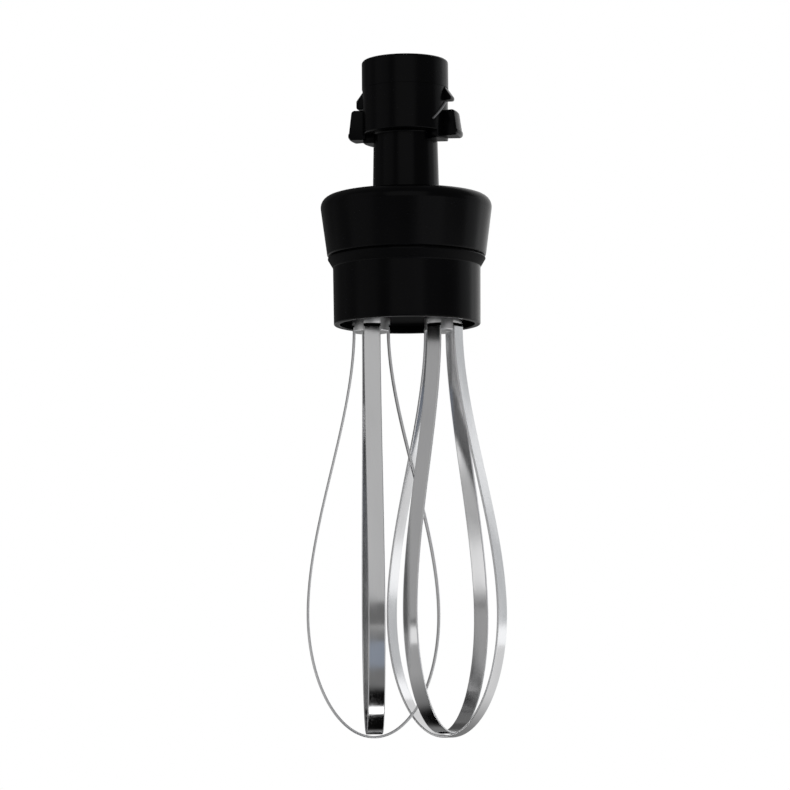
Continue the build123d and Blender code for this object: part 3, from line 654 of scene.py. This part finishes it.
for bayonet in BAYONETS:
    turn = bayonet["turn"]
    outline = lug_outline(bayonet["lug_top"])
    lug = sector(outline, LUG_ANGLE + turn, LUG_ARC, LUG_EDGE)
    # Painted highlight: a round pale spot on each lug's lip
    from_lip = (outline - [LUG_LIP_REACH - 0.2, LUG_FOOT + 0.25]) / LIP_HIGHLIGHT_SIZE
    lip = np.exp(-(from_lip**2).sum(axis=1))
    upper.grid(lug, wrap_columns=True, caps=True, uv=marks(lug, painted_light=LIP_HIGHLIGHT * lip))
    upper.grid(sector(block_outline, BLOCK_ANGLE + turn, BLOCK_ARC, EDGE), wrap_columns=True, caps=True)
    nib = nib_outline(bayonet["nib_foot"], bayonet["nib_wall"])
    upper.grid(sector(nib, NIB_ANGLE + turn, NIB_ARC, EDGE), wrap_columns=True, caps=True)
print("points with the bayonets", upper.count)

# %% [markdown]
# A thin rib slants across the wall beside each lug and steers it into its slot. A curve with a bevel
# would give a round rod there. An ellipse that is sunk in the wall and carried along a slanting line gives
# the moulded rib, and a painted highlight runs pale along its crest.

# %% Slanting ribs
RIB_ANGLE = -37.0
RIB_MIDDLE = -11.4
RIB_LENGTH = 13.2
RIB_WIDTH = 1.1
RIB_PROUD = 1.0
RIB_SUNK = 0.3
RIB_SIDES = 24
RIB_SLOPE = math.radians(43.0)


def slanting_rib(middle):
    """Rib on the collar's wall: a sunk ellipse carried along a slanting line.

    Its ends taper by sqrt(1 - s^2), where s is the share of the way into an end.
    """
    along = np.linspace(-1, 1, 33)[:, None]
    round_the_rib = np.linspace(0, 2 * np.pi, RIB_SIDES + 1)[None, :-1]
    end = 1 - (RIB_WIDTH / RIB_LENGTH)
    taper = np.sqrt(np.clip(1 - (np.clip(np.abs(along) - end, 0, None) / (1 - end)) ** 2, 0.0025, 1))
    length = along * RIB_LENGTH / 2
    across = RIB_WIDTH / 2 * np.cos(round_the_rib) * taper
    radius = LAND_RADIUS - RIB_SUNK + (RIB_PROUD + RIB_SUNK) * np.sin(round_the_rib) * taper
    sideways = length * math.cos(RIB_SLOPE) - across * math.sin(RIB_SLOPE)
    height = RIB_MIDDLE + length * math.sin(RIB_SLOPE) + across * math.cos(RIB_SLOPE)
    angle = math.radians(middle) + sideways / LAND_RADIUS
    return np.stack([radius * np.cos(angle), radius * np.sin(angle), height], axis=-1)


# Painted highlight along each rib's crest
crest_highlight = np.clip(np.sin(np.linspace(0, 2 * np.pi, RIB_SIDES + 1)[:-1]), 0, 1) ** 2
for bayonet in BAYONETS:
    rib = slanting_rib(RIB_ANGLE + bayonet["turn"])
    upper.grid(rib, wrap_columns=True, caps=True, uv=marks(rib, painted_light=crest_highlight))
print("points with the ribs", upper.count)

# %% [markdown]
# Inside the drum stand the bosses that hold the upper bushes, the cluster gear's pin and the case screws.
# Each is a plain tube that grows out of the ceiling, with its root sunk in it, so no boolean is needed to
# join them.

# %% Bosses under the ceiling
SCREW_X, SCREW_Y = 19.6, 20.67
SCREW_PLACES = [(sx * SCREW_X, sy * SCREW_Y) for sx in (-1, 1) for sy in (-1, 1)]
SPINDLE_FLANGE = 4.6
WHISK_AXES = {
    "left": span("left_spindle")[0][0] + SPINDLE_FLANGE,
    "right": span("right_spindle")[1][0] - SPINDLE_FLANGE,
}
pin_low, pin_high = span("cluster_pin")
PIN_PLACE = tuple((pin_low + pin_high)[:2] / 2)
UPPER_BUSH_FOOT = span("left_upper_bush")[0][2]
SCREW_SPLIT = -68.4
BUSH_SEAT, UPPER_BUSH_BOSS = 5.03, 7.0
SCREW_PILOT, PILOT_BOSS = 1.55, 3.0
PIN_SEAT, PIN_BOSS, PIN_BOSS_DEPTH = 2.53, 3.8, 1.2
BOSS_ROOT = CEILING + 0.5


def tube(inner, outer, low, high, x, y):
    """A plain tube about an upright axis."""
    outline = rounded([(inner, low, 0), (outer, low, 0.2), (outer, high, 0), (inner, high, 0)])
    return turned(outline, x, y, segments=64)


axis_places = [(x, 0.0) for x in WHISK_AXES.values()]
upper_tubes = [tube(BUSH_SEAT, UPPER_BUSH_BOSS, UPPER_BUSH_FOOT, BOSS_ROOT, x, y) for x, y in axis_places]
upper_tubes += [tube(SCREW_PILOT, PILOT_BOSS, SCREW_SPLIT, BOSS_ROOT, x, y) for x, y in SCREW_PLACES]
upper_tubes += [tube(PIN_SEAT, PIN_BOSS, CEILING - PIN_BOSS_DEPTH, BOSS_ROOT, *PIN_PLACE)]
for points in upper_tubes:
    upper.grid(points, wrap_rows=True, wrap_columns=True)
print("points with the bosses", upper.count)

# %% [markdown]
# A finished piece is given the body that carries it and its material, and the solid that it stands for is
# hidden. A table at the end could do so, but here it is done as each piece is made.

# %% Dressing a piece
def dress(piece, body, slot, material, *nodes):
    """Gives a finished piece its body and material, and hides the nodes that it stands for. The slot is not
    used.
    """
    piece.data.materials.clear()
    piece.data.materials.append(material)
    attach(piece, body)
    if nodes:
        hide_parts(*nodes)
    print(piece.name, "faces", len(piece.data.polygons))
    return piece


housing_top = upper.build("housing_top")
dress(housing_top, "housing", "black_moulding", black_moulding, "upper_housing")

# %% [markdown]
# ## Lower housing
#
# The cup closes the gearbox from below. It is turned like the drum, then its floor is cut: a pocket for
# each spindle seal and a deep hole for each case screw. A boolean cut suits round holes in a flat floor,
# where a grid would have to be bent round each one.

# %% Lower housing
seal_low, seal_high = span("left_shaft_seal")
RIM_FOOT = span("lower_housing")[0][2]
FLOOR_UNDERSIDE = seal_low[2]
FLOOR_TOP = FLOOR_UNDERSIDE + 4.0
FLANGE_TOP = SKIRT_FOOT - 0.8
SPIGOT_TOP = -69.2
SPIGOT_RADIUS = SKIRT_FOOT_RADIUS - SKIRT_WALL - 0.2
CUP_BORE = 30.4
CUP_TOP_RADIUS = 35.0
CUP_WALL_RADIUS = 32.75
RIM_RADIUS = 32.5
RECESS_RADIUS = 30.0
BAND_TOP, BAND_FOOT = FLANGE_TOP - 0.6, FLANGE_TOP - 4.4
BAND_SKIN = 0.7
lower_outline = rounded(
    [
        (0.0, FLOOR_TOP, 0),
        (CUP_BORE, FLOOR_TOP, 1.0),
        (CUP_BORE, SPIGOT_TOP, 0.2),
        (SPIGOT_RADIUS, SPIGOT_TOP, 0.3),
        (SPIGOT_RADIUS, FLANGE_TOP, 0.2),
        (CUP_TOP_RADIUS, FLANGE_TOP, 0.2),
        (CUP_TOP_RADIUS, BAND_TOP, 0.4),
        (CUP_WALL_RADIUS, BAND_FOOT, 1.2),
        (RIM_RADIUS, RIM_FOOT, 0.6),
        (RECESS_RADIUS, RIM_FOOT, 0.4),
        (RECESS_RADIUS, FLOOR_UNDERSIDE, 0.6),
        (0.0, FLOOR_UNDERSIDE, 0),
    ],
    steps=9,
)
shell = turned(lower_outline, segments=256)
radius, height = lower_outline.T
recess = (np.abs(height - FLOOR_UNDERSIDE) < 0.7) & (radius < RECESS_RADIUS + 0.1)
band = (radius > RIM_RADIUS - 0.5) & (height > BAND_FOOT + 0.2) & (height < BAND_TOP + 0.2)
skins = 1.0 * recess + BAND_SKIN * band
housing_cup = Shape().grid(shell, wrap_rows=True, uv=marks(shell, coarse=skins)).build("housing_cup")
print("cup faces before the cuts", len(housing_cup.data.polygons))

# %% [markdown]
# A boolean takes a closed shape out of a piece, as a drill would. Its result is applied at once, because
# the next cut starts from it.

# %% Cuts in the floor
AXIS_POINT = 0.0001


def settle(piece):
    """Applies a piece's modifiers to its mesh."""
    bpy.context.view_layer.update()
    graph = bpy.context.evaluated_depsgraph_get()
    result = bpy.data.meshes.new_from_object(piece.evaluated_get(graph))
    piece.modifiers.clear()
    piece.data = result
    turn_outwards(piece)


def cut(piece, cutter):
    """Takes a closed cutter out of a piece and applies the result, then deletes the cutter."""
    tool = piece.modifiers.new("cut", "BOOLEAN")
    tool.operation = "DIFFERENCE"
    tool.solver = "EXACT"
    tool.object = cutter
    settle(piece)
    bpy.data.objects.remove(cutter)


def cutter(radius, low, high, places):
    """Closed cylinders at several places, to take out of a piece."""
    shape = Shape()
    outline = np.array([(AXIS_POINT, low), (radius, low), (radius, high), (AXIS_POINT, high)])
    for x, y in places:
        shape.grid(turned(outline, x, y, segments=64), wrap_rows=True, wrap_columns=True)
    return shape.build("cutter")


SEAL_RADIUS = seal_high[0] - WHISK_AXES["left"] + 0.03
SEAL_POCKET_TOP = FLOOR_UNDERSIDE + 3.5
SCREW_HEAD_HOLE = 2.9
PAST_FLOOR = FLOOR_TOP + 2.0
cut(housing_cup, cutter(SCREW_HEAD_HOLE, RIM_FOOT, PAST_FLOOR, SCREW_PLACES))
cut(housing_cup, cutter(SEAL_RADIUS, RIM_FOOT, SEAL_POCKET_TOP, axis_places))
cut(housing_cup, cutter(BUSH_SEAT, RIM_FOOT, PAST_FLOOR, axis_places))
print("cup faces after the cuts", len(housing_cup.data.polygons))

# %% [markdown]
# The bosses inside the cup are added after the cuts, so that each cut meets one plain floor.

# %% Bosses on the floor
def join(piece, other):
    """Adds another object's mesh to a piece, then deletes that object."""
    work = bmesh.new()
    work.from_mesh(piece.data)
    work.from_mesh(other.data)
    work.to_mesh(piece.data)
    work.free()
    bpy.data.objects.remove(other)


SCREW_SEAT = -81.4
SCREW_CLEARANCE, SCREW_BOSS = 1.7, 3.9
LOWER_BUSH_BOSS, LOWER_BUSH_TOP = 7.6, -71.7
PIN_BOSS_TOP = -67.0
BOSS_FOOT = FLOOR_TOP - 0.3
lower_bosses = Shape()
lower_tubes = [tube(BUSH_SEAT, LOWER_BUSH_BOSS, BOSS_FOOT, LOWER_BUSH_TOP, x, y) for x, y in axis_places]
lower_tubes += [tube(SCREW_HEAD_HOLE, SCREW_BOSS, BOSS_FOOT, SCREW_SEAT, x, y) for x, y in SCREW_PLACES]
lower_tubes += [tube(SCREW_CLEARANCE, SCREW_BOSS, SCREW_SEAT, SCREW_SPLIT, x, y) for x, y in SCREW_PLACES]
lower_tubes += [tube(PIN_SEAT, PIN_BOSS, BOSS_FOOT, PIN_BOSS_TOP, *PIN_PLACE)]
for points in lower_tubes:
    lower_bosses.grid(points, wrap_rows=True, wrap_columns=True)
join(housing_cup, lower_bosses.build("lower_bosses"))
housing_cup.data.set_sharp_from_angle(angle=math.radians(40))
dress(housing_cup, "housing", "black_moulding", black_moulding, "lower_housing")

# %% [markdown]
# ## Hubs
#
# Each whisk hangs from a turned hub with a shoulder on top and four open slots that take the strip ends.
# The hub is turned, the slots are cut, and a bevel breaks every edge, because a deburred edge is what
# catches the light.

# %% Slots for the strip ends
HUB_RADIUS = 8.4
STRIP_WIDTH = 7.4
SLOT_SPARE = 0.05
# Painted shade: full at a pocket's floor, a fifth at its outer corners
PAINTED_SHADE_ROUND_BLOCK = np.array([1, 0.2, 0.2, 1])


def slot_cutter(x, angle, floor, low, high, scale):
    """Four blocks round a hub's axis, as wide as the strip, from a floor radius out, marked with painted
    shade.
    """
    shape = Shape()
    for quarter in range(4):
        turn = math.radians(angle + 90 * quarter)
        radial = np.array([math.cos(turn), math.sin(turn), 0])
        side = np.array([-math.sin(turn), math.cos(turn), 0])
        near = floor * radial
        far = 2 * HUB_RADIUS * radial
        half = (STRIP_WIDTH / 2 + SLOT_SPARE) * side
        ring = np.array([near - half, far - half, far + half, near + half]) + np.array([x, 0, 0])
        block = np.stack([ring + [0, 0, low], ring + [0, 0, high]])
        shape.grid(block, wrap_columns=True, caps=True, uv=marks(block, scale * PAINTED_SHADE_ROUND_BLOCK))
    return shape.build("slot_cutter")


print("slot width mm", STRIP_WIDTH + 2 * SLOT_SPARE)

# %% Hubs
HUB_SHOULDER = 3.1
HUB_BORE = 3.03
HUB_EDGE = 0.5
BROKEN_EDGE = 0.2
SLOT_FLOOR = 7.0
POCKET_FLOOR = 5.5
WHISK_ANGLES = {"left": 3.4, "right": -33.6}


def break_edges(piece, width):
    """Bevels every sharp edge of a piece and shades it smooth."""
    edge = piece.modifiers.new("edge", "BEVEL")
    edge.width = width * MM
    edge.segments = 3
    edge.limit_method = "ANGLE"
    edge.angle_limit = math.radians(40)
    settle(piece)
    piece.data.polygons.foreach_set("use_smooth", np.ones(len(piece.data.polygons), bool))
    piece.data.set_sharp_from_angle(angle=math.radians(35))


def hub(side):
    """One hub: a turned blank, less four slots for the strip ends and four deeper pockets over them."""
    x = WHISK_AXES[side]
    foot, top = (corner[2] for corner in span(f"{side}_hub"))
    strip_top = span(f"{side}_outer_loop")[1][2]
    outer = [(HUB_RADIUS, foot, HUB_EDGE), (HUB_RADIUS, top, HUB_EDGE)]
    corners = [(HUB_BORE, foot, 0), *outer, (HUB_BORE, top, 0)]
    blank = turned(rounded(corners), x, segments=128, start=WHISK_ANGLES[side])
    piece = Shape().grid(blank, wrap_rows=True, wrap_columns=True).build(f"{side}_hub_turned")
    cut(piece, slot_cutter(x, WHISK_ANGLES[side], SLOT_FLOOR, foot - 1, strip_top, 0.0))
    # The pockets carry painted shade
    cut(piece, slot_cutter(x, WHISK_ANGLES[side], POCKET_FLOOR, strip_top - 0.01, top - HUB_SHOULDER, 1.0))
    break_edges(piece, BROKEN_EDGE)
    return dress(piece, f"{side}_whisk", "hub_steel", hub_steel, f"{side}_hub")


for side in WHISK_ANGLES:
    hub(side)

# %% [markdown]
# ## Strip loops
#
# A loop is one length of strip bent in a plane: down each side on a long S, and round the tip on half an
# ellipse. The side is a cubic curve and the tip a formula, so the path is smooth, and the strip's rounded
# section is carried along it. A curve object with a bevel could do that, but arrays also give the UV map
# that the finish needs. The inner loop's tip is higher, so that it passes over the outer one.

# %% Loop path
LOOP_HALF_WIDTH = 28.75
LOOP_WIDEST = -233.9
WAIST_PULL = 40.7
SEAT_PULL = 41.0
SEAT_RADIUS = 7.55
STRIP_THICKNESS = 1.0


def side_curve(top, count=110):
    """Cubic curve from the hub's slot to the widest point: four weights times four control points, summed."""
    t = np.linspace(0, 1, count)[:, None]
    control = np.array(
        [
            (SEAT_RADIUS, top),
            (SEAT_RADIUS, top - SEAT_PULL),
            (LOOP_HALF_WIDTH, LOOP_WIDEST + WAIST_PULL),
            (LOOP_HALF_WIDTH, LOOP_WIDEST),
        ]
    )
    weights = np.hstack([(1 - t) ** 3, 3 * (1 - t) ** 2 * t, 3 * (1 - t) * t**2, t**3])
    return weights @ control


def loop_path(top, tip):
    """Radius and height along a loop, from one slot round the tip to the other.

    The tip is half width times cos angle, and depth times sin angle below the widest point.
    """
    side = side_curve(top)
    angle = np.linspace(0, -np.pi, 121)[1:-1, None]
    depth = LOOP_WIDEST - tip - STRIP_THICKNESS / 2
    tip_curve = np.hstack([LOOP_HALF_WIDTH * np.cos(angle), LOOP_WIDEST + depth * np.sin(angle)])
    return np.vstack([side, tip_curve, side[::-1] * [-1, 1]])


print("points down one side", len(side_curve(top=0.0)))

# %% [markdown]
# Rolling leaves the strip's edges nearly full round, so its section is a flat bar with wide rounds. How far
# each point lies round the section is measured once, for the UV map.

# %% Strip section
STRIP_EDGE = 0.45
half_width, half_thickness = STRIP_WIDTH / 2, STRIP_THICKNESS / 2
strip_section = rounded(
    [
        (-half_width, -half_thickness, STRIP_EDGE),
        (half_width, -half_thickness, STRIP_EDGE),
        (half_width, half_thickness, STRIP_EDGE),
        (-half_width, half_thickness, STRIP_EDGE),
    ],
    steps=7,
    support=0.03,
)
section_steps = np.linalg.norm(np.diff(strip_section, axis=0, append=strip_section[:1]), axis=1)
half_turns = 2 * np.concatenate([[0], np.cumsum(section_steps)[:-1]]) / section_steps.sum()
print("strip section points", len(strip_section))


# %% Loops
def loop(side, name, angle):
    """One loop: a point is the path plus the section's thickness outwards plus its width across the plane."""
    node = f"{side}_{name}"
    low, high = span(node)
    path = loop_path(high[2], low[2])
    tangent = np.gradient(path, axis=0)
    tangent /= np.linalg.norm(tangent, axis=1, keepdims=True)
    outward = np.stack([-tangent[:, 1], tangent[:, 0]], axis=1)
    length = np.concatenate([[0], np.cumsum(np.linalg.norm(np.diff(path, axis=0), axis=1))])
    across, thick = strip_section[:, 0], strip_section[:, 1]
    flat = path[:, None, :] + outward[:, None, :] * thick[None, :, None]
    turn = math.radians(angle)
    x = WHISK_AXES[side] + flat[..., 0] * math.cos(turn) - across[None] * math.sin(turn)
    y = flat[..., 0] * math.sin(turn) + across[None] * math.cos(turn)
    points = np.stack([x, y, flat[..., 1]], axis=-1)
    uv = np.stack(np.broadcast_arrays(length[:, None] * MM, half_turns[None]), axis=-1)
    piece = Shape().grid(points, wrap_columns=True, caps=True, uv=uv).build(f"{node}_strip")
    print(node, "length mm", round(length[-1], 1))
    return dress(piece, f"{side}_whisk", "strip_steel", strip_steel, node)


for side, angle in WHISK_ANGLES.items():
    loop(side, "outer_loop", angle)
    loop(side, "inner_loop", angle + 90)

# %% [markdown]
# ## Finishes of the pieces inside
#
# The shafts, bearings, gears, bushes, seals and screws keep their solids, which are exact already, and
# only get a finish. It goes into the object's own material slots, so the mesh itself stays as it came.

# %% Finish the inner nodes
FINISHES = {
    "bearing_steel": bearing_steel,
    "shaft_steel": shaft_steel,
    "dog_metal": dog_metal,
    "screw_steel": screw_steel,
    "bush_bronze": bush_bronze,
    "seal_rubber": seal_rubber,
    "gear_plastic": gear_plastic,
    "hub_steel": hub_steel,
    "strip_steel": strip_steel,
    "black_moulding": black_moulding,
}
for entry in frame["record"]["subparts"]:
    for place in frame["nodes"][entry["node"]].material_slots:
        place.material = FINISHES[entry["material_slot"]]

# %% [markdown]
# ## Camera
#
# The photograph was taken from about a metre and a half away with a long lens, level with the whisk tips
# and tipped up a little, so the housing is seen from below. The camera stands at that place in the
# object's own frame.

# %% Camera
TIP = cad_box[0].z
CAMERA_DISTANCE = 1.46
CAMERA_SIDE = -0.0057
CAMERA_TILT = 5.9
CAMERA_ROLL = -0.5
LENS_MM = 151.3
SENSOR_MM = 36.0
lens = bpy.data.cameras.new("camera")
lens.lens = LENS_MM
lens.sensor_width = SENSOR_MM
camera = bpy.data.objects.new("camera", lens)
scene.collection.objects.link(camera)
camera.location = (CAMERA_SIDE, -CAMERA_DISTANCE, TIP)
tilt = Quaternion((1, 0, 0), math.radians(90 + CAMERA_TILT))
camera.rotation_mode = "QUATERNION"
camera.rotation_quaternion = tilt @ Quaternion((0, 0, 1), math.radians(CAMERA_ROLL))
lens.clip_start = 0.05
lens.clip_end = 50.0
scene.camera = camera
print("camera at", [round(v, 3) for v in camera.location])

# %% [markdown]
# ## Studio
#
# The tool is held up by its collar, so the pale floor lies well below it, and behind it the same paper
# sweeps up as a white backdrop. The paper is white before the camera. In mirrors it glows with painted
# light: brighter towards the right, the backdrop fading towards the left, and a painted shade on the floor
# under the tool.

# %% Paper
FLOOR_LEVEL = TIP - 0.16


def paper_finish():
    """Pale matte paper: its own shading for light and shadow, white before the camera, a painted light level
    in mirrors.

    That level is floor + upright * (wall - floor). The wall's rises towards the right, and the floor's is
    lowest in the middle. Before the camera the floor keeps a part of its own shading, so the tool's shadow
    stays on it. A camera under the floor looks through it.
    """
    finish = Finish("pale_paper", Base_Color=grey(0.8), Roughness=0.9)
    place = finish.place()
    across = finish.part(place, "X")
    upright = finish.part(place, "Z").between(FLOOR_LEVEL + 0.05, FLOOR_LEVEL + 0.5)
    # Painted light for mirrors: the wall brighter towards the right, the floor darkest under the tool
    wall = 0.1 + 0.9 * across.between(-0.3, 0.6)
    floor = 0.50 - 0.26 * across.between(-0.35, -0.12) + 0.7 * across.between(0.08, 0.40)
    seen = finish.ray("Camera")
    mirrored = finish.ray("Glossy") + finish.ray("Transmission")
    level = floor + upright * (wall - floor)
    glow = finish.blend(seen + mirrored * level, grey(0.0), grey(1.0))
    white = finish.node("ShaderNodeEmission", {}, {"Color": glow})
    bend = finish.part(place, "Z").between(FLOOR_LEVEL, FLOOR_LEVEL + 0.06)
    share = seen * (0.94 + 0.06 * bend) + mirrored
    own = Value(finish, finish.shader.outputs[0])
    paper = finish.node("ShaderNodeMixShader", {}, {0: share, 1: own, 2: white})
    below = finish.node("ShaderNodeNewGeometry", output="Backfacing") * seen
    clear = finish.node("ShaderNodeBsdfTransparent")
    finish.surface(finish.node("ShaderNodeMixShader", {}, {0: below, 1: paper, 2: clear}))
    return finish.done()


pale_paper = paper_finish()


# %% Sweep
def sweep(name, width, front, back, rise, bend, material):
    """Floor and backdrop in one sheet: flat, then a quarter-round bend, then upright."""
    turn = np.linspace(0, np.pi / 2, 17)
    depth = np.concatenate([[front], back - bend + bend * np.sin(turn), [back]])
    height = np.concatenate([[0], bend - bend * np.cos(turn), [rise]])
    across = np.linspace(-width / 2, width / 2, 3)
    shape = (len(depth), len(across))
    points = np.stack(
        [
            np.broadcast_to(across[None], shape),
            np.broadcast_to(depth[:, None], shape),
            np.broadcast_to(FLOOR_LEVEL + height[:, None], shape),
        ],
        axis=-1,
    )
    piece = Shape().grid(points / MM).build(name)
    piece.data.flip_normals()
    piece.data.materials.append(material)
    print(name, "floor at mm", round(FLOOR_LEVEL / MM, 1))


sweep("studio_sweep", width=8.0, front=-2.5, back=2.2, rise=3.5, bend=0.8, material=pale_paper)

# %% [markdown]
# Polished strip shows what stands round it. Three glowing cards on the floor paint its reflections, and
# only mirrors see them: a near-black one keeps the paper out of the strip's tips, as a photographer's flag
# does, a small white one, brighter than white, draws one bright line across the front strip's bend, and a
# pale blue one farther out colours the strip's waist. The camera and the lamps don't see them.

# %% Cards on the floor
def card_finish(name, middle, rim, strength=1.0):
    """A glowing card for a painted reflection, with one colour in the middle that fades to another at its
    rim, as a mirror sees it.
    """
    finish = Finish(name, Base_Color=grey(0.0), Specular_IOR_Level=0.0, Emission_Strength=strength)
    outer = finish.part(finish.along(), "X").between(0.7, 1.0)
    finish.set(Emission_Color=finish.blend(outer, middle, rim))
    return finish.done()


def floor_card(x, y, half_x, half_y, lift, material):
    """A flat ellipse on the floor, in millimetres, for mirrors alone. Its UV map is a share of its radius."""
    share = np.array([0.01, 0.5, 0.7, 0.85, 1.0])
    rings = turned(np.stack([share, share * 0 + FLOOR_LEVEL / MM + lift], axis=1), segments=96)
    points = rings * [half_x, half_y, 1] + [x, y, 0]
    card = Shape().grid(points, wrap_rows=True, uv=marks(points, share)).build(material.name)
    card.data.materials.append(material)
    card.visible_camera = card.visible_diffuse = card.visible_shadow = False
    print(card.name, "at mm", x, y)


FLOOR_IN_MIRRORS = grey(0.24)
# Painted reflections: glowing cards, seen only by mirrors
dark_reflection_card = card_finish("dark_reflection_card", grey(0.003), FLOOR_IN_MIRRORS)
glowing_highlight_card = card_finish("glowing_highlight_card", grey(1.0), grey(1.0), strength=2.2)
blue_reflection_card = card_finish("blue_reflection_card", (0.35, 0.39, 0.46, 1), FLOOR_IN_MIRRORS)
floor_card(x=-20, y=-40, half_x=130, half_y=180, lift=4, material=dark_reflection_card)
floor_card(x=-8, y=-66, half_x=70, half_y=21, lift=8, material=glowing_highlight_card)
floor_card(x=0, y=-600, half_x=260, half_y=300, lift=3, material=blue_reflection_card)

# %% [markdown]
# Three soft boxes light the tool: a wide one in front and above, whose lower edge ends the bright part of
# the strip, one on the right that reaches a little behind the tool, and a dimmer one on the left. Two
# smaller ones lower down lighten the lower strips from the left and the drum's sloping wall from the
# right.

# %% Lamps
MIDDLE = Vector((0.0, 0.0, (cad_box[0].z + cad_box[1].z) / 2))


def soft_lamp(name, azimuth, elevation, distance, width, height, radiance, colour=(1, 1, 1)):
    """A rectangular soft box that faces the tool. Its power is radiance times area times pi.

    Azimuth runs in degrees from the front to the right, elevation upwards, and the sizes are in metres.
    """
    lamp = bpy.data.lights.new(name, "AREA")
    lamp.shape = "RECTANGLE"
    lamp.size = width
    lamp.size_y = height
    lamp.energy = radiance * width * height * math.pi
    lamp.color = colour
    turn, rise = math.radians(azimuth), math.radians(elevation)
    towards = Vector((math.sin(turn) * math.cos(rise), -math.cos(turn) * math.cos(rise), math.sin(rise)))
    holder = bpy.data.objects.new(name, lamp)
    holder.location = MIDDLE + towards * distance
    holder.rotation_mode = "QUATERNION"
    holder.rotation_quaternion = (-towards).to_track_quat("-Z", "Y")
    holder.visible_camera = False
    scene.collection.objects.link(holder)
    print(name, "watts", round(lamp.energy, 2))


COOL_WHITE = (0.95, 0.975, 1.0)
VIOLET_WHITE = (0.97, 0.95, 1.0)
# Azimuth, elevation, distance, width, height, radiance and colour of each
SOFT_BOXES = {
    "front_softbox": (0, 22, 1.8, 1.8, 1.18, 0.48),
    "right_softbox": (108, 0, 1.6, 1.1, 1.5, 0.55, COOL_WHITE),
    "left_softbox": (-65, 18, 1.6, 1.16, 1.3, 0.29),
    "left_low_softbox": (-65, -18, 0.62, 0.34, 0.09, 0.7),
    "right_low_softbox": (33, -1, 1.2, 0.8, 0.28, 0.45, VIOLET_WHITE),
}
for name, settings in SOFT_BOXES.items():
    soft_lamp(name, *settings)

# %% [markdown]
# The room gives an even fill from all sides. Mirrors see it dimmer than it lights, like the dark walls of
# a studio.

# %% Room
ROOM_LIGHT = 0.5
ROOM_IN_MIRRORS = 0.2
room = bpy.data.worlds.new("dim_room")
room.use_nodes = True
scene.world = room
walls = Nodes(room.node_tree)
before_camera = ROOM_LIGHT + (1 - ROOM_LIGHT) * walls.ray("Camera")
strength = before_camera + (ROOM_IN_MIRRORS - ROOM_LIGHT) * walls.ray("Glossy")
background = room.node_tree.nodes["Background"]
background.inputs["Color"].default_value = (1.0, 1.0, 1.0, 1.0)
room.node_tree.links.new(strength.socket, background.inputs["Strength"])
scene.view_settings.view_transform = "Standard"
print("room light", ROOM_LIGHT, "in mirrors", ROOM_IN_MIRRORS)
